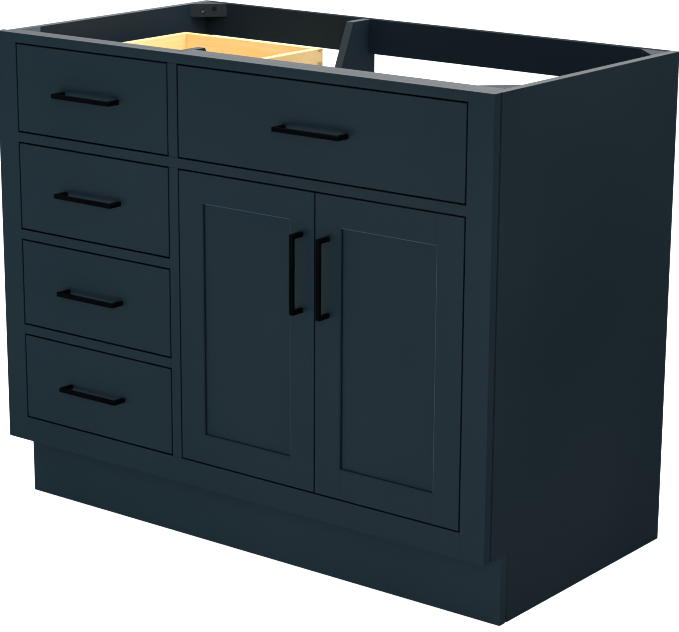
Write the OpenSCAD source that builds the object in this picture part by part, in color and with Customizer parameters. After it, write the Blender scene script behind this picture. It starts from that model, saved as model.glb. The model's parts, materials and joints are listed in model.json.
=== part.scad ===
// Bathroom vanity base cabinet: a face-frame carcass with four drawers on the left,
// a fixed false front over two doors on the right, an open top and an open back.
// Lengths run x from the frame's left edge, y back from the frame's front face, z up
// from the floor. home() then moves the origin to the bottom centre of the whole part.

/* [Cabinet] */
// Overall width of the face frame
cab_w = 1067; // [1000:1:1200]
// Depth from the face frame's front to the back edge of the side panels
cab_d = 559; // [533:1:610]
// Overall height
cab_h = 876; // [860:1:890]
// Thickness of the side, floor, partition and back boards
board_t = 16; // [15:1:18]
// How far the face frame stands past the left side panel, to be scribed to a wall
scribe = 10; // [6:1:18]
// Leg of each chamfer that forms the V-groove behind the front on the right side
groove_leg = 2.5; // [1:0.5:3]

/* [Face frame] */
// Thickness of the face frame, the fronts and the doors
frame_t = 19; // [18:1:22]
// Width of the two outer stiles
stile_w = 48; // [44:1:56]
// Height of the top rail and of the rails between the fronts
rail_h = 17; // [15:1:22]
// Height of the bottom rail
bottom_rail_h = 45; // [40:1:55]
// Width of the mullion between the drawers and the doors
mullion_w = 20; // [18:1:24]
// Width of the drawer openings
drawer_open_w = 360; // [340:1:380]
// Gap round each front and each door
gap = 2.8; // [2:0.1:3.2]

/* [Toe kick] */
// Height of the toe space
toe_h = 119; // [110:1:125]
// Setback of the toe board from the face frame
toe_recess = 50; // [40:1:60]

/* [Back and partition] */
// Height of the top back rail
back_rail_h = 64; // [58:1:80]
// Height of the bottom back rail
back_foot_h = 100; // [70:1:110]
// Depth of the cut in the partition that clears the sink bowl
scoop_depth = 104; // [90:1:108]
// Lean of the cut's two ends, measured level
scoop_lean = 46; // [30:1:60]
// Length of the partition's top edge behind the frame
front_horn = 60; // [50:1:70]
// Length of the partition's top edge in front of the back rail
back_horn = 50; // [40:1:60]
// Depth of the batten behind the top rail over the drawers
drawer_batten = 16; // [14:1:18]
// Depth of the batten behind the top rail in the sink bay
sink_batten = 32; // [28:1:36]
// Leg of the triangular corner blocks
block_leg = 50; // [40:1:60]
// Height of the corner blocks
block_h = 25; // [20:1:30]

/* [Doors] */
// Width of the door stiles and rails
door_frame_w = 52; // [48:1:60]
// Depth from the door's face to its panel
panel_recess = 6; // [5:0.5:7]
// Leg of the chamfer round the door panel
sticking = 2; // [1:0.5:3]
// Height of the hinge centres from the ends of a door
hinge_inset = 90; // [70:1:120]

/* [Drawers] */
// Thickness of the drawer box boards
box_t = 15; // [12:1:16]
// Height of the drawer boxes
box_h = 118; // [100:1:118]
// Length of the drawer boxes
box_l = 420; // [410:1:450]
// Height of the boxes above the lower edge of their opening
box_lift = 15; // [12:1:20]
// Length of the drawer slides
slide_l = 400; // [380:10:400]
// Room for a slide on each side of a box
slide_gap = 13; // [12.7:0.1:13.5]

/* [Pulls] */
// Distance between a pull's screw centres
pull_cc = 128; // [96:32:160]
// Width of the square bar across its face
pull_w = 8; // [7:1:12]
// Thickness of the bar, front to back
pull_t = 6; // [5:1:10]
// How far a pull stands out from its front
pull_out = 28; // [26:1:36]
// Distance from the top of a door to the centre of its pull
door_pull_drop = 136; // [110:1:200]

/* [Hidden] */
$fn = 48;
DRAWERS = [1, 2, 3, 4];
SIDES = ["left", "right"];

PAINT = [0.13, 0.18, 0.21];
PAINT_INSIDE = [0.09, 0.12, 0.14];
BIRCH = [0.90, 0.76, 0.54];
BLACK = [0.06, 0.06, 0.07];
ZINC = [0.72, 0.73, 0.74];

eps = 1;                        // overshoot of a cut
floor_z = toe_h + bottom_rail_h;          // top of the cabinet floor
inner_l = scribe + board_t;               // inside face of the left side panel
inner_r = cab_w - board_t;                // inside face of the right side panel
inner_b = cab_d - board_t;                // inside face of the back rails
open_h = (cab_h - rail_h - floor_z - 3 * rail_h) / 4;
mullion_x = stile_w + drawer_open_w;
part_x = mullion_x;                       // left face of the partition
part_r = part_x + board_t;
bay_l = mullion_x + mullion_w;            // the door bay's opening
bay_r = cab_w - stile_w;
bay_mid = (bay_l + bay_r) / 2;
door_top = cab_h - 2 * rail_h - open_h;   // top edge of the door opening

function open_z(n) = cab_h - n * (rail_h + open_h);   // lower edge of drawer opening n
function box_z(n) = open_z(n) + box_lift;
function slide_z(n) = box_z(n) + slide_up;            // centre line of a pair of slides

slide_up = 30;                  // height of the slides' centre line above the box's underside
slide_hz = 22.5;                // half height of a slide's outer member
slide_t = 1.2;                  // thickness of the slide's steel
slide_play = 0.6;               // clearance between the slide's members
slide_front = frame_t + 2;      // where the slides begin
middle_front = slide_front + 4; // where the middle members begin
middle_l = slide_l - 20;        // length of a middle member

hinge_zs = [floor_z + gap + hinge_inset, door_top - gap - hinge_inset];
cup_x = 21.5;                   // hinge cup's centre from the door's edge
cup_r = 17.5;
cup_depth = 11.5;
arm_y = frame_t + 6;            // the arm starts behind the door's sweep
arm_l = 62;

// Moves the row's origin to the bottom centre of the whole part.
module home() translate([-cab_w / 2, -(cab_d - pull_out) / 2, 0]) children();
// Extrudes an outline given in y and z along x.
module along_x(x0, len) translate([x0, 0, 0]) rotate([90, 0, 90]) linear_extrude(len) children();
// Extrudes an outline given in x and z along y.
module along_y(y0, len) translate([0, y0 + len, 0]) rotate([90, 0, 0]) linear_extrude(len) children();
module along_z(z0, len) translate([0, 0, z0]) linear_extrude(len) children();
module board(x0, x1, y0, y1, z0, z1) translate([x0, y0, z0]) cube([x1 - x0, y1 - y0, z1 - z0]);
// Draws the child, and again mirrored about the plane x = mid.
module both(mid) {
    children();
    flip(mid) children();
}
module flip(mid) translate([2 * mid, 0, 0]) mirror([1, 0, 0]) children();

// ---------- carcass ----------
module side_outline() polygon([
    [toe_recess + frame_t, 0], [cab_d, 0], [cab_d, cab_h], [frame_t, cab_h],
    [frame_t, toe_h], [toe_recess + frame_t, toe_h]]);

module side_panel_left() color(PAINT) along_x(scribe, board_t) side_outline();

module side_panel_right() color(PAINT) difference() {
    along_x(inner_r, board_t) side_outline();
    translate([cab_w, frame_t, toe_h]) groove_cut(cab_h - toe_h);
    translate([cab_w, toe_recess + frame_t, 0]) groove_cut(toe_h);
}

// A chamfer cut at an outer front corner, standing on its lower end.
module groove_cut(len) translate([0, 0, -eps]) linear_extrude(len + 2 * eps)
    rotate(45) square(groove_leg * sqrt(2), center = true);

module partition_panel() color(PAINT_INSIDE) {
    back_top = inner_b - back_horn;
    front_top = frame_t + front_horn;
    scoop_z = cab_h - scoop_depth;
    along_x(part_x, board_t) polygon([
        [frame_t, floor_z], [inner_b, floor_z], [inner_b, toe_h + back_foot_h],
        [cab_d, toe_h + back_foot_h], [cab_d, cab_h - back_rail_h],
        [inner_b, cab_h - back_rail_h], [inner_b, cab_h], [back_top, cab_h],
        [back_top - scoop_lean, scoop_z], [front_top + scoop_lean, scoop_z],
        [front_top, cab_h], [frame_t, cab_h]]);
}

module floor_panel() color(PAINT_INSIDE)
    board(inner_l, inner_r, frame_t, inner_b, floor_z - board_t, floor_z);

module floor_support_rail() color(PAINT_INSIDE)
    board(inner_l, inner_r, toe_recess, toe_recess + frame_t, toe_h, floor_z - board_t);

module back_top_rail() color(PAINT_INSIDE)
    board(inner_l, inner_r, inner_b, cab_d, cab_h - back_rail_h, cab_h);

module back_bottom_rail() color(PAINT_INSIDE)
    board(inner_l, inner_r, inner_b, cab_d, toe_h, toe_h + back_foot_h);

module toe_kick_board() color(PAINT) difference() {
    board(scribe, cab_w, toe_recess, toe_recess + frame_t, 0, toe_h);
    translate([cab_w, toe_recess + frame_t, 0]) groove_cut(toe_h);
}

batten_z = cab_h - board_t;               // underside of the battens
// Two battens stiffen the top rail from behind, one on each side of the partition.
module front_battens() color(PAINT_INSIDE) {
    board(inner_l, part_x, frame_t, frame_t + drawer_batten, batten_z, cab_h);
    board(part_r, inner_r, frame_t, frame_t + sink_batten, batten_z, cab_h);
}

// One block's outline, with its square corner at the origin.
module block_outline() polygon([[0, 0], [block_leg, 0], [0, block_leg]]);

// Sets its child in each of the four top corners, the front ones behind the battens.
module at_corners() for (m = [0, 1], n = [0, 1])
    translate([m == 0 ? inner_l : inner_r,
               n == 1 ? inner_b : frame_t + (m == 0 ? drawer_batten : sink_batten),
               cab_h - block_h])
        mirror([m, 0, 0]) mirror([0, n, 0]) children();

screw_r = 2;
screw_head_r = 4.2;
screw_head_h = 2.6;
screw_play = 0.6;               // clearance round a screw's head
head_sink = 5;                  // depth of the pocket for a screw's head
screw_l = block_leg / 2 - 8;
screw_from_mid = 11;            // screw's place along the block's long face
screw_stagger = 2.5;            // how far one hole sits below the middle, and the other above
// Places its child at a screw, with +z pointing out of the block's long face.
module at_block_screw(side)
    translate([block_leg / 2, block_leg / 2, block_h / 2 - side * screw_stagger])
    rotate([0, 0, 45]) translate([0, side * screw_from_mid, 0]) rotate([0, 90, 0]) children();

module corner_blocks() color(PAINT_INSIDE) at_corners() difference() {
    linear_extrude(block_h) block_outline();
    for (side = [-1, 1]) at_block_screw(side) translate([0, 0, -head_sink])
        cylinder(r = screw_head_r + screw_play, h = head_sink + eps);
    at_block_screw(1) translate([0, 0, -block_leg / 2]) cylinder(r = screw_r, h = block_leg / 2);
}

module corner_block_screws() color(ZINC) at_corners() at_block_screw(1) {
    translate([0, 0, -screw_l]) cylinder(r = screw_r - 0.05, h = screw_l - head_sink + eps);
    translate([0, 0, -head_sink]) difference() {
        cylinder(r1 = screw_head_r, r2 = screw_head_r - 1.2, h = screw_head_h);
        for (turn = [0, 90]) rotate(turn) translate([0, 0, screw_head_h])
            cube([screw_head_r, 1, 2], center = true);
    }
}

// ---------- face frame ----------
module stile_left() color(PAINT) board(0, stile_w, 0, frame_t, toe_h, cab_h);

module stile_right() color(PAINT) difference() {
    board(bay_r, cab_w, 0, frame_t, toe_h, cab_h);
    translate([cab_w, frame_t, toe_h]) groove_cut(cab_h - toe_h);
}

module top_rail() color(PAINT) board(stile_w, bay_r, 0, frame_t, cab_h - rail_h, cab_h);

module mid_rail() color(PAINT)
    board(stile_w, bay_r, 0, frame_t, open_z(1) - rail_h, open_z(1));

module drawer_rails() color(PAINT) for (n = [2, 3])
    board(stile_w, mullion_x, 0, frame_t, open_z(n) - rail_h, open_z(n));

module bottom_rail() color(PAINT) board(stile_w, bay_r, 0, frame_t, toe_h, floor_z);

module mullion_upper() color(PAINT)
    board(mullion_x, bay_l, 0, frame_t, open_z(1), cab_h - rail_h);

module mullion_lower() color(PAINT) board(mullion_x, bay_l, 0, frame_t, floor_z, door_top);

// ---------- pulls ----------
pull_l = pull_cc + pull_w;
// A pull lying along x, centred on its fixing face at y = 0, which it stands in front of.
module pull_bar() difference() {
    translate([-pull_l / 2, -pull_out, -pull_w / 2]) cube([pull_l, pull_out, pull_w]);
    translate([-pull_l / 2 + pull_w, -pull_out + pull_t, -pull_w])
        cube([pull_l - 2 * pull_w, pull_out, 2 * pull_w]);
}

// ---------- fixed front over the doors ----------
module false_front() color(PAINT)
    board(bay_l + gap, bay_r - gap, 0, frame_t, open_z(1) + gap, cab_h - rail_h - gap);

plate_in = 110;                 // from the ends of the opening to the middle of a plate
plate_w = 40;
plate_t = 2;
plate_over = 16;                // how far a plate laps onto the frame and onto the front
plate_hole = [12, 10];          // places of a plate's holes from its middle
plate_hole_r = 1.8;
bracket_leg = 28;               // length of each leg of an angle bracket
bracket_hole = 19;              // from a bracket's corner to its holes
module plate_screw_hole() cylinder(r = plate_hole_r, h = plate_t + 2 * eps);
// Flat plates hold the front's lower edge, and angle brackets under the batten its upper edge.
module false_front_plates() color(ZINC) for (x = [bay_l + plate_in, bay_r - plate_in]) {
    translate([x, frame_t, open_z(1)]) difference() {
        board(-plate_w / 2, plate_w / 2, 0, plate_t, -plate_over, plate_over);
        for (dx = [-1, 1], dz = [-1, 1])
            translate([dx * plate_hole[0], -eps, dz * plate_hole[1]])
                rotate([-90, 0, 0]) plate_screw_hole();
    }
    translate([x, frame_t, batten_z]) difference() {
        along_x(-plate_w / 2, plate_w) polygon([
            [0, 0], [bracket_leg, 0], [bracket_leg, -plate_t],
            [plate_t, -plate_t], [plate_t, -bracket_leg], [0, -bracket_leg]]);
        for (dx = [-1, 1]) translate([dx * plate_hole[0], 0, 0]) {
            translate([0, -eps, -bracket_hole]) rotate([-90, 0, 0]) plate_screw_hole();
            translate([0, bracket_hole, -plate_t - eps]) plate_screw_hole();
        }
    }
}

module false_front_pull() color(BLACK)
    translate([bay_mid, 0, (open_z(1) + cab_h - rail_h) / 2]) pull_bar();

// ---------- doors ----------
// The left door is drawn in place and the right door is its mirror image.
door_x0 = bay_l + gap;
door_x1 = bay_mid - gap / 2;
door_z0 = floor_z + gap;
door_z1 = door_top - gap;
sight_x0 = door_x0 + door_frame_w;
sight_x1 = door_x1 - door_frame_w;
sight_z0 = door_z0 + door_frame_w;
sight_z1 = door_z1 - door_frame_w;
panel_t = 6;
panel_grip = 8;                 // how far the panel enters its grooves
groove_d = 9;                   // depth of the groove

module place_door(side) {
    if (side == "left") children();
    else flip(bay_mid) children();
}

// Cuts the chamfer round the panel, mitred at its corners: one wedge-sided prism for the
// upright edges, kept only where it meets another for the level edges.
module sticking_cut() intersection() {
    along_z(sight_z0 - 2 * sticking, sight_z1 - sight_z0 + 4 * sticking)
        polygon([[sight_x0 - sticking - eps, -eps], [sight_x1 + sticking + eps, -eps],
                 [sight_x1, sticking], [sight_x0, sticking]]);
    along_x(sight_x0 - 2 * sticking, sight_x1 - sight_x0 + 4 * sticking)
        polygon([[-eps, sight_z0 - sticking - eps], [-eps, sight_z1 + sticking + eps],
                 [sticking, sight_z1], [sticking, sight_z0]]);
}

module door_stiles(side) color(PAINT) place_door(side) difference() {
    union() {
        board(door_x0, sight_x0, 0, frame_t, door_z0, door_z1);
        board(sight_x1, door_x1, 0, frame_t, door_z0, door_z1);
    }
    board(sight_x0 - groove_d, sight_x1 + groove_d, panel_recess, panel_recess + panel_t,
          door_z0 + door_frame_w - groove_d, door_z1 - door_frame_w + groove_d);
    sticking_cut();
    for (z = hinge_zs) translate([door_x0 + cup_x, frame_t - cup_depth, z]) rotate([-90, 0, 0])
        cylinder(r = cup_r, h = cup_depth + eps);
}

module door_rails(side) color(PAINT) place_door(side) difference() {
    union() {
        board(sight_x0, sight_x1, 0, frame_t, door_z0, sight_z0);
        board(sight_x0, sight_x1, 0, frame_t, sight_z1, door_z1);
    }
    board(sight_x0 - eps, sight_x1 + eps, panel_recess, panel_recess + panel_t,
          sight_z0 - groove_d, sight_z1 + groove_d);
    sticking_cut();
}

module door_panel(side) color(PAINT) place_door(side)
    board(sight_x0 - panel_grip, sight_x1 + panel_grip, panel_recess, panel_recess + panel_t,
          sight_z0 - panel_grip, sight_z1 + panel_grip);

module door_pull(side) color(BLACK) place_door(side)
    translate([door_x1 - door_frame_w / 2, 0, door_z1 - door_pull_drop])
        rotate([0, 90, 0]) pull_bar();

cup_wall = 1.4;
cup_play = 0.2;                 // clearance between a cup and its bore
flange = [20, 62];              // the plate that is screwed to the back of the door
flange_rim = 1.5;               // how far the flange stands out round the cup
flange_hole = 24;               // places of the flange's screw holes above and below the cup
hinge_hole_r = 2.2;
link = [14, 11];                // the block inside the cup that the linkage folds into

// The moving half of each concealed hinge: the cup, its flange and the block inside it.
module door_hinge_cups(side) color(ZINC) place_door(side) for (z = hinge_zs)
    translate([door_x0 + cup_x, frame_t, z]) rotate([-90, 0, 0]) {
        difference() {
            union() {
                translate([0, 0, cup_play - cup_depth])
                    cylinder(r = cup_r - cup_play, h = cup_depth - cup_play);
                linear_extrude(cup_wall) {
                    square(flange, center = true);
                    circle(r = cup_r + flange_rim);
                }
            }
            translate([0, 0, cup_play + cup_wall - cup_depth])
                cylinder(r = cup_r - cup_play - cup_wall, h = cup_depth + cup_wall);
            for (dz = [-flange_hole, flange_hole]) translate([0, dz, -eps])
                cylinder(r = hinge_hole_r, h = cup_wall + 2 * eps);
        }
        translate([-link[0] / 2, -link[1] / 2, cup_play - cup_depth])
            cube([link[0], link[1], cup_depth - cup_play]);
    }

hinge_plate_t = 2.5;
hinge_plate = [40, 44];         // depth and height of the plate that carries the arm
plate_back = 12;                // from the arm's tip to its plate
plate_screws = 16;              // places of the plate's screw holes above and below the arm
arm_w = 14;
arm_rise = 9;
arm_wall = 1.4;

// The fixed half, drawn as it stands on the partition: the plate and the channel-shaped arm.
module hinge_half() for (z = hinge_zs) translate([part_r, arm_y, z]) {
    difference() {
        board(0, hinge_plate_t, plate_back, plate_back + hinge_plate[0],
              -hinge_plate[1] / 2, hinge_plate[1] / 2);
        for (dz = [-plate_screws, plate_screws])
            translate([-eps, plate_back + hinge_plate[0] / 2, dz]) rotate([0, 90, 0])
                cylinder(r = hinge_hole_r, h = hinge_plate_t + 2 * eps);
    }
    translate([hinge_plate_t, 0, 0]) difference() {
        board(0, arm_rise, 0, arm_l, -arm_w / 2, arm_w / 2);
        board(-eps, arm_rise - arm_wall, -eps, arm_l + eps,
              arm_wall - arm_w / 2, arm_w / 2 - arm_wall);
    }
}

module hinge_arms() color(ZINC) both(bay_mid) hinge_half();

hinge_block = [85, 64];         // depth and height of the blocks beside the right door
module hinge_blocks() color(PAINT_INSIDE) for (z = hinge_zs)
    board(2 * bay_mid - part_r, inner_r, frame_t, frame_t + hinge_block[0],
          z - hinge_block[1] / 2, z + hinge_block[1] / 2);

// ---------- drawers ----------
box_x0 = stile_w + slide_gap;
box_x1 = mullion_x - slide_gap;
drawer_mid = (box_x0 + box_x1) / 2;
tail_n = 4;                     // dovetails at each corner of a box
tail_part = 0.28;               // half width of a tail's root, as a part of the tails' spacing
tail_lean = 2;
glue = 0.1;                     // glue line in the joints of a box
bottom_t = 6;
bottom_up = 10;                 // height of the bottom above the lower edge of the box
bottom_grip = 7;                // how far the bottom enters its grooves

module drawer_front(n) color(PAINT)
    board(stile_w + gap, mullion_x - gap, 0, frame_t, open_z(n) + gap, open_z(n) + open_h - gap);

// The outlines of a corner's dovetails in y and z, as long as a board is thick.
module tails(grow) {
    pitch = box_h / tail_n;
    for (i = [0 : tail_n - 1]) {
        z = (i + 0.5) * pitch;
        narrow = pitch * tail_part + grow;
        wide = narrow + tail_lean;
        polygon([[0, z - wide], [0, z + wide], [box_t + eps, z + narrow], [box_t + eps, z - narrow]]);
    }
}

module box_side() difference() {
    along_x(box_x0, box_t) union() {
        translate([box_t, 0]) square([box_l - 2 * box_t, box_h]);
        intersection() {
            square([box_l, box_h]);
            union() {
                tails(0);
                translate([box_l, 0]) mirror([1, 0]) tails(0);
            }
        }
    }
    bottom_slab(glue);
}

module box_end() difference() {
    board(box_x0, box_x1, 0, box_t - glue, 0, box_h);
    both(drawer_mid) along_x(box_x0 - eps, box_t + eps + glue) tails(glue);
    bottom_slab(glue);
}

module bottom_slab(grow) board(
    box_x0 + box_t - bottom_grip - grow, box_x1 - box_t + bottom_grip + grow,
    box_t - bottom_grip - grow, box_l - box_t + bottom_grip + grow,
    bottom_up - grow, bottom_up + bottom_t + grow);

module drawer_box(n) color(BIRCH) translate([0, frame_t, box_z(n)]) {
    both(drawer_mid) box_side();
    box_end();
    translate([0, box_l, 0]) mirror([0, 1, 0]) box_end();
}

module drawer_bottom(n) color(BIRCH) translate([0, frame_t, box_z(n)]) bottom_slab(0);

module drawer_pull(n) color(BLACK)
    translate([drawer_mid, 0, open_z(n) + open_h / 2]) pull_bar();

// ---------- drawer slides ----------
// A channel's outline in x and z: its web stands at x = 0 and it opens towards +x.
module channel(depth, half_h) difference() {
    translate([0, -half_h]) square([depth, 2 * half_h]);
    translate([slide_t, slide_t - half_h]) square([depth, 2 * (half_h - slide_t)]);
}

outer_depth = 9;                // depth of each member from its web to its lips
middle_depth = 8;
inner_depth = 8.5;
middle_in = 2;                  // from the opening's edge to a middle member
middle_hz = slide_hz - slide_t - slide_play;
inner_hz = middle_hz - slide_t - slide_play;
spacer_hz = 26;

module slide_outer_members() color(ZINC) for (n = DRAWERS)
    translate([0, 0, slide_z(n)]) both(drawer_mid)
        along_y(slide_front, slide_l) translate([stile_w, 0]) channel(outer_depth, slide_hz);

module slide_middle(n) color(ZINC) translate([0, 0, slide_z(n)]) both(drawer_mid)
    along_y(middle_front, middle_l) translate([stile_w + middle_in, 0])
        channel(middle_depth, middle_hz);

module slide_inner(n) color(ZINC) translate([0, 0, slide_z(n)]) both(drawer_mid)
    along_y(slide_front, slide_l) translate([box_x0, 0]) mirror([1, 0])
        channel(inner_depth, inner_hz);

module slide_spacers() color(PAINT_INSIDE) for (n = DRAWERS)
    board(inner_l, stile_w, slide_front, slide_front + slide_l,
          slide_z(n) - spacer_hz, slide_z(n) + spacer_hz);

home() side_panel_left();
home() side_panel_right();
home() partition_panel();
home() floor_panel();
home() floor_support_rail();
home() back_top_rail();
home() back_bottom_rail();
home() toe_kick_board();
home() stile_left();
home() stile_right();
home() top_rail();
home() mid_rail();
home() drawer_rails();
home() bottom_rail();
home() mullion_upper();
home() mullion_lower();
home() front_battens();
home() corner_blocks();
home() corner_block_screws();
home() slide_spacers();
home() slide_outer_members();
home() hinge_blocks();
home() hinge_arms();
home() false_front();
home() false_front_plates();
home() false_front_pull();
for (s = SIDES) {
    home() door_stiles(s);
    home() door_rails(s);
    home() door_panel(s);
    home() door_pull(s);
    home() door_hinge_cups(s);
}
for (n = DRAWERS) {
    home() drawer_front(n);
    home() drawer_box(n);
    home() drawer_bottom(n);
    home() drawer_pull(n);
    home() slide_inner(n);
    home() slide_middle(n);
}
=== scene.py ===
"""A painted bathroom vanity cabinet.

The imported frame's boards get eased edges, wood grain and satin paint, and the screws that
hold its hardware are added.
"""

import json
import math

import bmesh
import bpy
from mathutils import Matrix, Vector


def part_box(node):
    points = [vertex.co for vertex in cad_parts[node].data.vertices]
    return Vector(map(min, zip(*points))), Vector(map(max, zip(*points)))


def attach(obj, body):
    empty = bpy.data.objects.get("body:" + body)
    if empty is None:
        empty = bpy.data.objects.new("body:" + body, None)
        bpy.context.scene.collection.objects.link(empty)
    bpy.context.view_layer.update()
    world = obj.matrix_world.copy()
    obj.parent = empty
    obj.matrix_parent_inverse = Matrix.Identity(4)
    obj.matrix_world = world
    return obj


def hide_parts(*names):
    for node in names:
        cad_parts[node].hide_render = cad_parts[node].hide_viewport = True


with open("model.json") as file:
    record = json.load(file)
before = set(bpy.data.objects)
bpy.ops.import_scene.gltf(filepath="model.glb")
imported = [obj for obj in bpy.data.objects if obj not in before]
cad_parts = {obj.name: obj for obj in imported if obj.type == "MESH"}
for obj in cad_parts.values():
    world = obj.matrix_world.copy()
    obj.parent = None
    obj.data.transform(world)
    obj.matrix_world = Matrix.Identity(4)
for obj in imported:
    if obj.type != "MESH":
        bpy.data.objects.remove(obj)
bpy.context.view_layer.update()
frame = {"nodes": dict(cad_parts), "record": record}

RECORD = frame["record"]
BODY_OF = {n: body for body, nodes in RECORD["behaviour"]["bodies"].items() for n in nodes}
SLOT_OF = {part["node"]: part["material_slot"] for part in RECORD["subparts"]}
AXES = "xyz"


# ---------- node helpers for the materials ----------

SOCKETS = {"base_color": "Base Color", "roughness": "Roughness", "metallic": "Metallic",
           "normal": "Normal", "specular_ior_level": "Specular IOR Level",
           "emission_color": "Emission Color", "emission_strength": "Emission Strength"}


class Shader:
    """A material under construction, with short calls for the nodes it is made of."""

    def __init__(self, name):
        self.material = bpy.data.materials.new(name)
        self.material.use_nodes = True
        self.tree = self.material.node_tree
        self.surface = self.tree.nodes["Principled BSDF"]
        self.place = self.tree.nodes.new("ShaderNodeTexCoord").outputs["Object"]

    def feed(self, socket, value):
        """Links a socket to another one, or sets it to a plain value."""
        if isinstance(value, bpy.types.NodeSocket):
            self.tree.links.new(value, socket)
        else:
            socket.default_value = value

    def node(self, kind, inputs=(), **settings):
        made = self.tree.nodes.new(kind)
        for key, value in settings.items():
            setattr(made, key, value)
        for key, value in dict(inputs).items():
            self.feed(made.inputs[key], value)
        return made

    def stretched(self, scale):
        return self.node(
            "ShaderNodeMapping", {"Vector": self.place, "Scale": scale}).outputs["Vector"]

    def noise(self, vector, scale, detail=2.0, roughness=0.5, distortion=0.0):
        return self.node(
            "ShaderNodeTexNoise",
            {"Vector": vector, "Scale": scale, "Detail": detail, "Roughness": roughness,
             "Distortion": distortion},
        ).outputs["Fac"]

    def ramp(self, value, stops):
        made = self.node("ShaderNodeValToRGB", {"Fac": value})
        points = made.color_ramp.elements
        while len(points) < len(stops):
            points.new(1.0)
        for point, (at, colour) in zip(points, stops):
            point.position = at
            point.color = (*colour, 1.0)
        return made.outputs["Color"]

    def span(self, value, low, high, start=0.0, end=1.0):
        return self.node(
            "ShaderNodeMapRange",
            {"Value": value, "From Min": start, "From Max": end, "To Min": low, "To Max": high},
        ).outputs["Result"]

    def mixed(self, share, a, b):
        """Colour a with a share of the plain colour b."""
        made = self.node("ShaderNodeMix", data_type="RGBA")
        values = {"Factor_Float": share, "A_Color": a, "B_Color": (*b, 1.0)}
        for socket in made.inputs:
            if socket.identifier in values:
                self.feed(socket, values[socket.identifier])
        return [s for s in made.outputs if s.identifier == "Result_Color"][0]

    def added(self, a, b):
        made = self.node("ShaderNodeMath", operation="ADD")
        self.feed(made.inputs[0], a)
        self.feed(made.inputs[1], b)
        return made.outputs["Value"]

    def bump(self, height, distance, strength, under=None):
        inputs = {"Height": height, "Distance": distance, "Strength": strength}
        if under is not None:
            inputs["Normal"] = under
        return self.node("ShaderNodeBump", inputs).outputs["Normal"]

    def finish(self, **sockets):
        for key, value in sockets.items():
            self.feed(self.surface.inputs[SOCKETS[key]], value)
        return self.material


def along(axis, long, across):
    """Scales for a texture that is drawn out along one axis."""
    return tuple(long if letter == axis else across for letter in AXES)


def shade(colour, factor):
    return tuple(channel * factor for channel in colour)


def by_axis(make, name, *values):
    """A material for each direction that grain can run in."""
    return {axis: make(f"{name}_{axis}", axis, *values) for axis in AXES}


# ---------- materials ----------

NAVY = (0.0058, 0.0146, 0.0212)
# Painted highlights: lighter copies of the navy for the door sticking faces that look down and to
# the left, in place of light catching them.
NAVY_UNDER_HIGHLIGHT = (0.028, 0.054, 0.070)
NAVY_SIDE_HIGHLIGHT = (0.062, 0.115, 0.150)
# Painted light: the inside paint is a lighter copy of the navy, which lifts the shade on the
# faces inside the cabinet.
NAVY_INSIDE_LIGHTENED = (0.0097, 0.0190, 0.0282)
# Painted highlight: a lighter navy for the partition's sawn edges.
NAVY_CUT_HIGHLIGHT = (0.028, 0.042, 0.053)
BLOCK_GREY = (0.011, 0.022, 0.034)
BIRCH_TONES = [(0.28, (0.76, 0.46, 0.16)), (0.48, (0.88, 0.61, 0.27)), (0.70, (0.94, 0.75, 0.43))]
BIRCH_FLECK = (0.58, 0.34, 0.13)
BIRCH_WARM = (0.82, 0.50, 0.20)
END_TONES = [(0.1, (0.47, 0.27, 0.105)), (0.8, (0.64, 0.40, 0.18))]
END_PORE = (0.30, 0.16, 0.06)
BLACK_TONES = [(0.3, (0.0006, 0.0008, 0.0012)), (0.7, (0.0012, 0.0014, 0.0019))]
ZINC_GREY = (0.60, 0.61, 0.62)
SCREW_GREY = (0.08, 0.13, 0.20)
FLOOR_TONES = [(0.3, (0.875, 0.878, 0.882)), (0.7, (0.905, 0.906, 0.908))]
FLOOR_GLOW = 0.70

# Bump depths, in metres.
GRAIN_DEPTH = 0.0001
PEEL_DEPTH = 0.00008
ROLLING_DEPTH = 0.00005
FLOOR_DEPTH = 0.0005


def paint(name, axis, colour, rough, shine=0.5):
    """Sprayed satin paint over wood whose grain runs along axis."""
    s = Shader(name)
    cloud = s.noise(s.place, 3.0, 3.0)
    grain = s.noise(s.stretched(along(axis, 6, 260)), 1.0, 3.0, 0.6)
    peel = s.noise(s.place, 420.0, 2.0)
    tone = s.ramp(cloud, [(0.3, shade(colour, 0.94)), (0.7, shade(colour, 1.06))])
    tone = s.mixed(s.span(grain, 0.0, 0.10, 0.45, 0.75), tone, shade(colour, 0.6))
    normal = s.bump(grain, GRAIN_DEPTH, 0.35)
    normal = s.bump(peel, PEEL_DEPTH, 0.30, normal)
    return s.finish(
        base_color=tone,
        roughness=s.span(cloud, rough - 0.03, rough + 0.04, 0.3, 0.7),
        normal=normal,
        specular_ior_level=shine,
    )


def birch(name, axis):
    """Lacquered birch with its grain along axis."""
    s = Shader(name)
    streak = s.noise(s.stretched(along(axis, 2.2, 34)), 1.0, 4.0, 0.55, 0.6)
    fleck = s.noise(s.stretched(along(axis, 25, 900)), 1.0, 2.0)
    cloud = s.noise(s.place, 5.0, 2.0)
    tone = s.ramp(streak, BIRCH_TONES)
    tone = s.mixed(s.span(fleck, 0.0, 0.25, 0.56, 0.72), tone, BIRCH_FLECK)
    tone = s.mixed(s.span(cloud, 0.0, 0.30, 0.35, 0.65), tone, BIRCH_WARM)
    return s.finish(
        base_color=tone, roughness=s.span(streak, 0.34, 0.46),
        normal=s.bump(fleck, GRAIN_DEPTH, 0.3))


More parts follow.
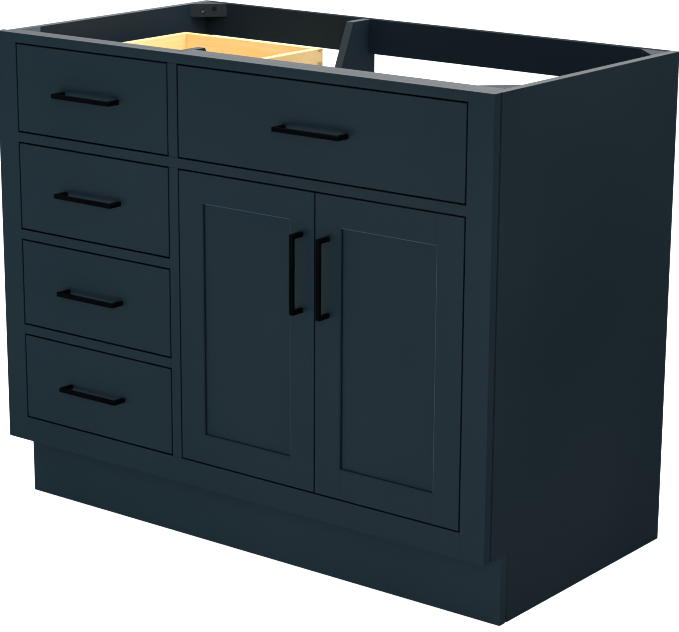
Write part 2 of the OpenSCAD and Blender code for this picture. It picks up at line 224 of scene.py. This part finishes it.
def end_grain(name):
    """Cut ends of birch boards: close rings with pores between them."""
    s = Shader(name)
    rings = s.node(
        "ShaderNodeTexWave",
        {"Vector": s.place, "Scale": 90.0, "Distortion": 6.0, "Detail": 2.0, "Detail Scale": 1.5},
    ).outputs["Fac"]
    pores = s.noise(s.place, 1400.0, 1.0)
    tone = s.mixed(s.span(pores, 0.0, 0.6, 0.55, 0.7), s.ramp(rings, END_TONES), END_PORE)
    return s.finish(base_color=tone, roughness=0.62, normal=s.bump(pores, GRAIN_DEPTH, 0.4))


def black_coat(name):
    """Matte black powder coat."""
    s = Shader(name)
    fine = s.noise(s.place, 900.0, 2.0)
    cloud = s.noise(s.place, 14.0, 2.0)
    return s.finish(
        base_color=s.ramp(cloud, BLACK_TONES), roughness=s.span(fine, 0.42, 0.56),
        normal=s.bump(fine, GRAIN_DEPTH, 0.35), specular_ior_level=0.08)


def zinc(name, axis, colour=ZINC_GREY, metal=0.65):
    """Rolled steel with zinc plate, its rolling marks along axis."""
    s = Shader(name)
    rolling = s.noise(s.stretched(along(axis, 12, 900)), 1.0, 2.0)
    bloom = s.noise(s.place, 60.0, 3.0)
    return s.finish(
        base_color=s.ramp(bloom, [(0.3, shade(colour, 0.87)), (0.7, shade(colour, 1.13))]),
        metallic=metal,
        roughness=s.added(s.span(rolling, 0.20, 0.34), s.span(bloom, -0.03, 0.06)),
        normal=s.bump(rolling, ROLLING_DEPTH, 0.3),
    )


def floor_coat(name):
    """A plain pale studio floor."""
    s = Shader(name)
    cloud = s.noise(s.place, 1.2, 3.0)
    return s.finish(
        base_color=s.ramp(cloud, FLOOR_TONES), roughness=0.8,
        normal=s.bump(cloud, FLOOR_DEPTH, 0.1),
        emission_color=(1.0, 1.0, 1.0, 1.0), emission_strength=FLOOR_GLOW)


PAINT = by_axis(paint, "front_paint", NAVY, 0.36)
# Painted light: the toe board gets a copy of the navy 12% lighter, which lifts the shade under
# the cabinet's overhang.
PAINT_TOE_LIGHTENED = by_axis(paint, "toe_paint", shade(NAVY, 1.12), 0.38)
# Painted light: a lighter copy of the navy for the inside faces; its rougher, duller coat is
# real.
PAINT_INSIDE_LIGHTENED = by_axis(paint, "carcass_paint", NAVY_INSIDE_LIGHTENED, 0.6, 0.12)
PAINT_BLOCK = by_axis(paint, "block_paint", BLOCK_GREY, 0.6, 0.3)
# Painted shade: a darker copy of the navy for faces in the gaps between fronts and frame, in the
# side panels' grooves and on the back rail's top. Its rougher, less shiny coat is real; its
# darker colour is painted shade.
PAINT_EDGE_SHADE = paint("front_paint_edge_shade", "z", shade(NAVY, 0.6), 0.85, 0.12)
# Painted highlights on the door sticking: its faces that look down and to the left are lighter.
PAINT_UNDER_HIGHLIGHT = paint("front_paint_under_highlight", "x", NAVY_UNDER_HIGHLIGHT, 0.3)
PAINT_SIDE_HIGHLIGHT = paint("front_paint_side_highlight", "z", NAVY_SIDE_HIGHLIGHT, 0.3)
# Painted highlight on the partition's sawn edges.
PAINT_CUT_HIGHLIGHT = paint("carcass_paint_cut_highlight", "y", NAVY_CUT_HIGHLIGHT, 0.5, 0.3)
BIRCH = by_axis(birch, "birch")
BIRCH_END = end_grain("birch_end")
BLACK = dict.fromkeys(AXES, black_coat("black_metal"))
ZINC = by_axis(zinc, "zinc_steel")
DARK_ZINC = by_axis(zinc, "screw_steel", SCREW_GREY, 0.1)
BY_SLOT = {"front_paint": PAINT, "carcass_paint": PAINT_INSIDE_LIGHTENED, "birch": BIRCH,
           "black_metal": BLACK, "zinc_steel": ZINC}


# ---------- mesh helpers ----------

SAME_CORNER = 1e-6
FLAT_ANGLE = math.radians(0.5)
SHARP_ANGLE = math.radians(28.0)
END_GRAIN_NORMAL = 0.7


def piece(name, bm, body, slot, materials, nodes=()):
    """Turns a bmesh into an object that rides on a body and stands for CAD nodes."""
    mesh = bpy.data.meshes.new(name)
    bm.to_mesh(mesh)
    bm.free()
    for material in materials:
        mesh.materials.append(material)
    made = bpy.data.objects.new(name, mesh)
    bpy.context.scene.collection.objects.link(made)
    normals = made.modifiers.new("normals", "WEIGHTED_NORMAL")
    normals.keep_sharp = True
    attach(made, body)
    if nodes:
        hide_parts(*nodes)
    return made


def cad_mesh(node):
    """The node's solids as clean polygons: joined corners and merged flat faces."""
    source = frame["nodes"][node].data
    bm = bmesh.new()
    corners = [bm.verts.new(v.co) for v in source.vertices]
    for polygon in source.polygons:
        bm.faces.new([corners[i] for i in polygon.vertices])
    bmesh.ops.remove_doubles(bm, verts=bm.verts, dist=SAME_CORNER)
    bmesh.ops.dissolve_limit(bm, angle_limit=FLAT_ANGLE, verts=bm.verts, edges=bm.edges,
                             use_dissolve_boundaries=False)
    return bm


def ease(bm, width):
    """Rounds the sharp edges of a mesh."""
    edges = [e for e in bm.edges
             if len(e.link_faces) == 2 and e.calc_face_angle(0.0) > SHARP_ANGLE]
    bmesh.ops.bevel(bm, geom=edges, offset=width, segments=2, profile=0.5,
                    affect="EDGES", clamp_overlap=True)
    for face in bm.faces:
        face.smooth = True


def islands(bm):
    """The faces of a mesh in groups, one group for each solid in it."""
    left = set(bm.faces)
    for seed in bm.faces:
        if seed not in left:
            continue
        left.remove(seed)
        group, open_faces = [seed], [seed]
        while open_faces:
            for edge in open_faces.pop().edges:
                if len(edge.link_faces) != 2:
                    continue
                for face in edge.link_faces:
                    if face in left:
                        left.remove(face)
                        group.append(face)
                        open_faces.append(face)
        yield group


def grain_axis(faces):
    """The longest direction of a solid, which its grain runs along."""
    corners = [v.co for face in faces for v in face.verts]
    size = [max(c[i] for c in corners) - min(c[i] for c in corners) for i in range(3)]
    return max(range(3), key=lambda i: size[i])


def board(node, width, finish=None, areas=()):
    """A CAD node with its edges eased, in the finish of its slot or another one.

    Each solid's grain runs along its length. Each of areas is a test that picks faces, with
    the material that those faces have instead.
    """
    bm = cad_mesh(node)
    kept = bm.faces.layers.int.new("grain")
    for faces in islands(bm):
        longest = grain_axis(faces)
        for face in faces:
            face[kept] = longest
    ease(bm, width)
    slot = SLOT_OF[node]
    for face in bm.faces:
        face.material_index = face[kept]
        if slot == "birch" and abs(face.normal[face[kept]]) > END_GRAIN_NORMAL:
            face.material_index = len(AXES)
    finish = finish or BY_SLOT[slot]
    materials = [finish[axis] for axis in AXES]
    if slot == "birch":
        materials.append(BIRCH_END)
    made = piece(f"{node}_finished", bm, BODY_OF[node], slot, materials, [node])
    for chosen, material in areas:
        made.data.materials.append(material)
        for face in made.data.polygons:
            if chosen(face):
                face.material_index = len(made.data.materials) - 1
    return made


# ---------- screws ----------

SCREW_TURNS = 32
# For each ring of a head: its radius and height as shares of the head's, and how deeply the
# cross cuts into it.
SCREW_RINGS = (
    (1.0, 0.0, 0.0),
    (1.0, 0.25, 0.0),
    (0.90, 0.60, 0.0),
    (0.72, 0.88, 0.0),
    (0.56, 1.0, 0.62),
    (0.42, 0.35, 0.62),
)


def screw_head(bm, place, outward, radius, height):
    """A domed head with a cross recess, standing on a face whose normal is outward."""
    up = Vector(outward).normalized()
    side = up.orthogonal().normalized()
    other = up.cross(side)

    def ring(reach, level, cross):
        made = []
        for i in range(SCREW_TURNS):
            turn = 2 * math.pi * i / SCREW_TURNS
            arm = abs(math.cos(2 * turn)) ** 3
            far = reach * (1 - cross + cross * arm)
            east, north = far * math.cos(turn), far * math.sin(turn)
            made.append(bm.verts.new(place + side * east + other * north + up * level))
        return made

    rings = [ring(reach * radius, level * height, cross) for reach, level, cross in SCREW_RINGS]
    for low, high in zip(rings, rings[1:]):
        for i in range(SCREW_TURNS):
            j = (i + 1) % SCREW_TURNS
            bm.faces.new([low[i], low[j], high[j], high[i]])
    bm.faces.new(rings[-1])
    bm.faces.new(list(reversed(rings[0])))
    for face in bm.faces:
        face.smooth = True


def screws(name, body, places, outward, radius, height):
    """A set of equal screw heads as one piece."""
    bm = bmesh.new()
    for place in places:
        screw_head(bm, Vector(place), outward, radius, height)
    return piece(name, bm, body, "zinc_steel", [ZINC["x"]])


# ---------- tests that pick faces ----------

GROOVE_AREA = 0.0005
STICKING_AREA = 0.00025
# The face frame's outer edges and top, which face no gap.
FRAME_SIDE = 0.53
FRAME_TOP = 0.87


def looks_inward(face):
    """Whether a face of a side panel looks into the cabinet."""
    return face.normal.x * face.center.x < -0.2


def looks_up(face):
    """Whether a face is level and on top."""
    return face.normal.z > 0.9


def in_groove(face):
    """Whether a face is in the groove that parts a side panel from the face frame."""
    return 0.3 < abs(face.normal.x) < 0.95 and face.area > GROOVE_AREA


def on_cut_edge(face):
    """Whether a face is one of the sawn edges of a board that stands across the cabinet."""
    return abs(face.normal.x) < 0.5 and (face.normal.y < -0.3 or face.normal.z > 0.3)


def in_gap(face):
    """Whether a face of the frame or of a front looks into the gap between them."""
    return (abs(face.normal.y) < 0.3 and -FRAME_SIDE < face.center.x < FRAME_SIDE
            and face.center.z < FRAME_TOP)


# The next two tests pick the sticking faces that get a painted highlight.
def under_sticking(face):
    """Whether a face is on the part of a door's inner moulding that looks down."""
    return face.area > STICKING_AREA and face.normal.y < -0.5 and face.normal.z < -0.5


def right_sticking(face):
    """Whether a face is on the part of a door's inner moulding that looks to the left."""
    return face.area > STICKING_AREA and face.normal.y < -0.5 and face.normal.x < -0.5


# ---------- boards, pulls, slides and hinges ----------

SIDES = ("left", "right")
DRAWERS = (1, 2, 3, 4)
# Faces that look into the gaps get the darker paint: painted shade.
GAP_SHADE = [(in_gap, PAINT_EDGE_SHADE)]
# Painted highlights: lighter paint on the door sticking faces that look down and to the left.
STICKING_HIGHLIGHTS = [(under_sticking, PAINT_UNDER_HIGHLIGHT), (right_sticking, PAINT_SIDE_HIGHLIGHT)]

# Widths of the eased edges, in metres.
EASE_FRONT = 0.001
EASE_BOX = 0.0006
EASE_BOARD = 0.0005
EASE_PANEL = 0.0004
EASE_FINE = 0.0003
EASE_STEEL = 0.0002

for side in SIDES:
    # Side panels: inner faces in the lightened inside paint (painted light), groove faces in the
    # darker gap paint (painted shade).
    board(f"side_panel_{side}", EASE_BOARD,
          areas=[(looks_inward, PAINT_INSIDE_LIGHTENED["z"]), (in_groove, PAINT_EDGE_SHADE)])
# The toe board's lighter paint is painted light.
board("toe_kick_board", EASE_BOARD, PAINT_TOE_LIGHTENED)
for node in ("floor_panel", "floor_support_rail", "back_bottom_rail", "slide_spacers",
             "hinge_blocks"):
    board(node, EASE_BOARD)
# The back rail's top gets the darker gap paint: painted shade.
board("back_top_rail", EASE_BOARD, areas=[(looks_up, PAINT_EDGE_SHADE)])
board("front_battens", EASE_BOARD, PAINT)
board("corner_blocks", EASE_BOARD, PAINT_BLOCK)
# The partition's sawn edges get the lighter paint: a painted highlight.
board("partition_panel", EASE_BOARD, areas=[(on_cut_edge, PAINT_CUT_HIGHLIGHT)])
# The frame's faces in the gaps get the darker paint: painted shade.
for node in ("stile_left", "stile_right", "top_rail", "mid_rail", "drawer_rails", "bottom_rail",
             "mullion_upper", "mullion_lower"):
    board(node, EASE_BOARD, areas=GAP_SHADE)
board("false_front", EASE_FRONT, areas=GAP_SHADE)
for node in ("slide_outer_members", "hinge_arms", "false_front_plates"):
    board(node, EASE_STEEL)
board("corner_block_screws", EASE_STEEL, DARK_ZINC)
board("false_front_pull", EASE_FRONT)
for side in SIDES:
    for part in ("stiles", "rails"):
        # Door stiles and rails: darker gap faces (painted shade) and lighter sticking faces
        # (painted highlights).
        board(f"door_{side}_{part}", EASE_FINE, areas=GAP_SHADE + STICKING_HIGHLIGHTS)
    board(f"door_{side}_panel", EASE_PANEL)
    board(f"door_{side}_pull", EASE_FRONT)
    board(f"door_{side}_hinge_cups", EASE_FINE)
for n in DRAWERS:
    board(f"drawer_{n}_front", EASE_FRONT, areas=GAP_SHADE)
    board(f"drawer_{n}_box", EASE_BOX)
    board(f"drawer_{n}_bottom", EASE_FINE)
    board(f"drawer_{n}_pull", EASE_FRONT)
    board(f"drawer_{n}_slide_inner", EASE_STEEL)
    board(f"drawer_{n}_slide_middle", EASE_STEEL)


# ---------- screws that hold the hardware ----------

# Radius and height of a head.
PULL_SCREW = (0.0045, 0.0020)
WOOD_SCREW = (0.0036, 0.0014)
# Half the distance between a pull's two posts.
PULL_POST = 0.064
BOX_BOARD = 0.015
# For a cup or plate: how far in from its end its outer screw is, and how far apart its two are.
CUP_SCREWS = (0.007, 0.048)
PLATE_SCREWS = (0.006, 0.032)
PLATE_SCREW_BACK = 0.032
PLATE_THICK = 0.0025


def pull_screws(name, pull, body, behind):
    """Two screws that come through a front into its pull, with their heads on the back."""
    low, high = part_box(pull)
    middle = (low + high) / 2
    level = high.x - low.x > high.z - low.z
    step = Vector((PULL_POST, 0, 0)) if level else Vector((0, 0, PULL_POST))
    places = [Vector((p.x, behind, p.z)) for p in (middle - step, middle + step)]
    screws(name, body, places, (0, 1, 0), *PULL_SCREW)


def screw_heights(low, high, inset, span):
    """Heights of the screws in two parts that reach from low to high, two screws in each."""
    return [low + inset, low + (inset + span), high - inset, high - (inset + span)]


for side in SIDES:
    body = f"door_{side}"
    pull_screws(f"{body}_pull_screws", f"{body}_pull", body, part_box(f"{body}_stiles")[1].y)
    low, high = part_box(f"{body}_hinge_cups")
    screws(f"{body}_cup_screws", body,
           [((low.x + high.x) / 2, high.y, z) for z in screw_heights(low.z, high.z, *CUP_SCREWS)],
           (0, 1, 0), *WOOD_SCREW)
pull_screws("false_front_pull_screws", "false_front_pull", "root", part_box("false_front")[1].y)
for n in DRAWERS:
    pull_screws(f"drawer_{n}_pull_screws", f"drawer_{n}_pull", BODY_OF[f"drawer_{n}_box"],
                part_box(f"drawer_{n}_box")[0].y + BOX_BOARD)
low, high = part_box("hinge_arms")
heights = screw_heights(low.z, high.z, *PLATE_SCREWS)
for side, x, way in (("left", low.x + PLATE_THICK, 1), ("right", high.x - PLATE_THICK, -1)):
    screws(f"hinge_plate_screws_{side}", "root",
           [(x, low.y + PLATE_SCREW_BACK, z) for z in heights], (way, 0, 0), *WOOD_SCREW)


# ---------- camera ----------

CAMERA_PLACE = Vector((2.3930, -3.0582, 1.4404))
CAMERA_YAW = 0.6564
CAMERA_PITCH = 0.2656
CAMERA_ROLL = -0.0055
CAMERA_LENS = 119.42
LENS_SENSOR = 36.0
CAMERA_NEAR, CAMERA_FAR = 0.05, 60.0


def camera_turn(yaw, pitch, roll):
    """The camera's rotation, from its turn to the left, its tilt down and its lean."""
    ahead = Vector((
        -math.sin(yaw) * math.cos(pitch), math.cos(yaw) * math.cos(pitch), -math.sin(pitch)))
    right = Vector((math.cos(yaw), math.sin(yaw), 0.0))
    down = ahead.cross(right)
    right, down = (math.cos(roll) * right + math.sin(roll) * down,
                   math.cos(roll) * down - math.sin(roll) * right)
    return Matrix((right, -down, -ahead)).transposed()


lens = bpy.data.cameras.new("camera")
lens.lens = CAMERA_LENS
lens.sensor_width = LENS_SENSOR
lens.clip_start, lens.clip_end = CAMERA_NEAR, CAMERA_FAR
camera = bpy.data.objects.new("camera", lens)
camera.matrix_world = Matrix.Translation(CAMERA_PLACE) @ camera_turn(
    CAMERA_YAW, CAMERA_PITCH, CAMERA_ROLL).to_4x4()
bpy.context.scene.collection.objects.link(camera)
bpy.context.scene.camera = camera


# ---------- lights ----------

# Name, place, the point it aims at, size, brightness, and whether it shows in reflections.
LIGHTS = (
    ("overhead", (0.3, 0.50, 3.0), (0, 0.1, 0.8), (3.0, 2.2), 5.0, True),
    ("key", (2.65, -4.20, 3.10), (0, -0.28, 0.5), (1.3, 1.1), 18.5, False),
    ("front_low", (-0.35, -1.85, 0.25), (-0.1, -0.28, 0.10), (2.0, 0.5), 6.9, False),
    ("ceiling", (0, 0, 3.4), (0, 0, 0), (9.0, 9.0), 0.75, False),
    ("side_low", (-2.4, -1.3, 0.35), (0, -0.28, 0.20), (1.4, 0.4), 5.0, False),
)

# The surroundings light the object from above the horizon and from behind it.
SKY_HEIGHT = (0.0, 0.25)
BACK_DEPTH = (0.2, 0.7)
BACK_LIGHT = (0.12, 1.6)


def soft_box(name, place, aim, size, radiance, in_reflections):
    """A rectangular studio light of a given brightness that the camera doesn't see."""
    lamp = bpy.data.lights.new(name, "AREA")
    lamp.shape = "RECTANGLE"
    lamp.size, lamp.size_y = size
    lamp.energy = radiance * math.pi * size[0] * size[1]
    made = bpy.data.objects.new(name, lamp)
    direction = Vector(aim) - Vector(place)
    made.location = place
    made.rotation_mode = "QUATERNION"
    made.rotation_quaternion = direction.to_track_quat("-Z", "Y")
    made.visible_camera = False
    made.visible_glossy = in_reflections
    bpy.context.scene.collection.objects.link(made)


for light in LIGHTS:
    soft_box(*light)

world = bpy.data.worlds.new("studio")
world.use_nodes = True
tree = world.node_tree
tree.nodes.clear()
output = tree.nodes.new("ShaderNodeOutputWorld")
seen = tree.nodes.new("ShaderNodeBackground")
seen.inputs["Color"].default_value = (1, 1, 1, 1)
seen.inputs["Strength"].default_value = 1.0
lit = tree.nodes.new("ShaderNodeBackground")
rays = tree.nodes.new("ShaderNodeLightPath")
chosen = tree.nodes.new("ShaderNodeMixShader")
direction = tree.nodes.new("ShaderNodeTexCoord")
parts = tree.nodes.new("ShaderNodeSeparateXYZ")
height = tree.nodes.new("ShaderNodeMapRange")
height.inputs["From Min"].default_value, height.inputs["From Max"].default_value = SKY_HEIGHT
depth = tree.nodes.new("ShaderNodeMapRange")
depth.inputs["From Min"].default_value, depth.inputs["From Max"].default_value = BACK_DEPTH
depth.inputs["To Min"].default_value, depth.inputs["To Max"].default_value = BACK_LIGHT
product = tree.nodes.new("ShaderNodeMath")
product.operation = "MULTIPLY"
tree.links.new(direction.outputs["Generated"], parts.inputs["Vector"])
tree.links.new(parts.outputs["Z"], height.inputs["Value"])
tree.links.new(parts.outputs["Y"], depth.inputs["Value"])
tree.links.new(height.outputs["Result"], product.inputs[0])
tree.links.new(depth.outputs["Result"], product.inputs[1])
tree.links.new(product.outputs["Value"], lit.inputs["Strength"])
tree.links.new(rays.outputs["Is Camera Ray"], chosen.inputs["Fac"])
tree.links.new(lit.outputs["Background"], chosen.inputs[1])
tree.links.new(seen.outputs["Background"], chosen.inputs[2])
tree.links.new(chosen.outputs["Shader"], output.inputs["Surface"])
bpy.context.scene.world = world
bpy.context.scene.view_settings.view_transform = "Standard"
bpy.context.scene.cycles.filter_width = 1.0


# ---------- floor ----------

FLOOR_REACH = 15.0
FLOOR_SQUARES = 8
FLOOR_DROP = 0.0005

bm = bmesh.new()
bmesh.ops.create_grid(
    bm, x_segments=FLOOR_SQUARES, y_segments=FLOOR_SQUARES, size=FLOOR_REACH)
floor_mesh = bpy.data.meshes.new("floor")
bm.to_mesh(floor_mesh)
bm.free()
floor_mesh.materials.append(floor_coat("floor"))
floor = bpy.data.objects.new("floor", floor_mesh)
floor.location.z = -FLOOR_DROP
floor.visible_glossy = False
bpy.context.scene.collection.objects.link(floor)
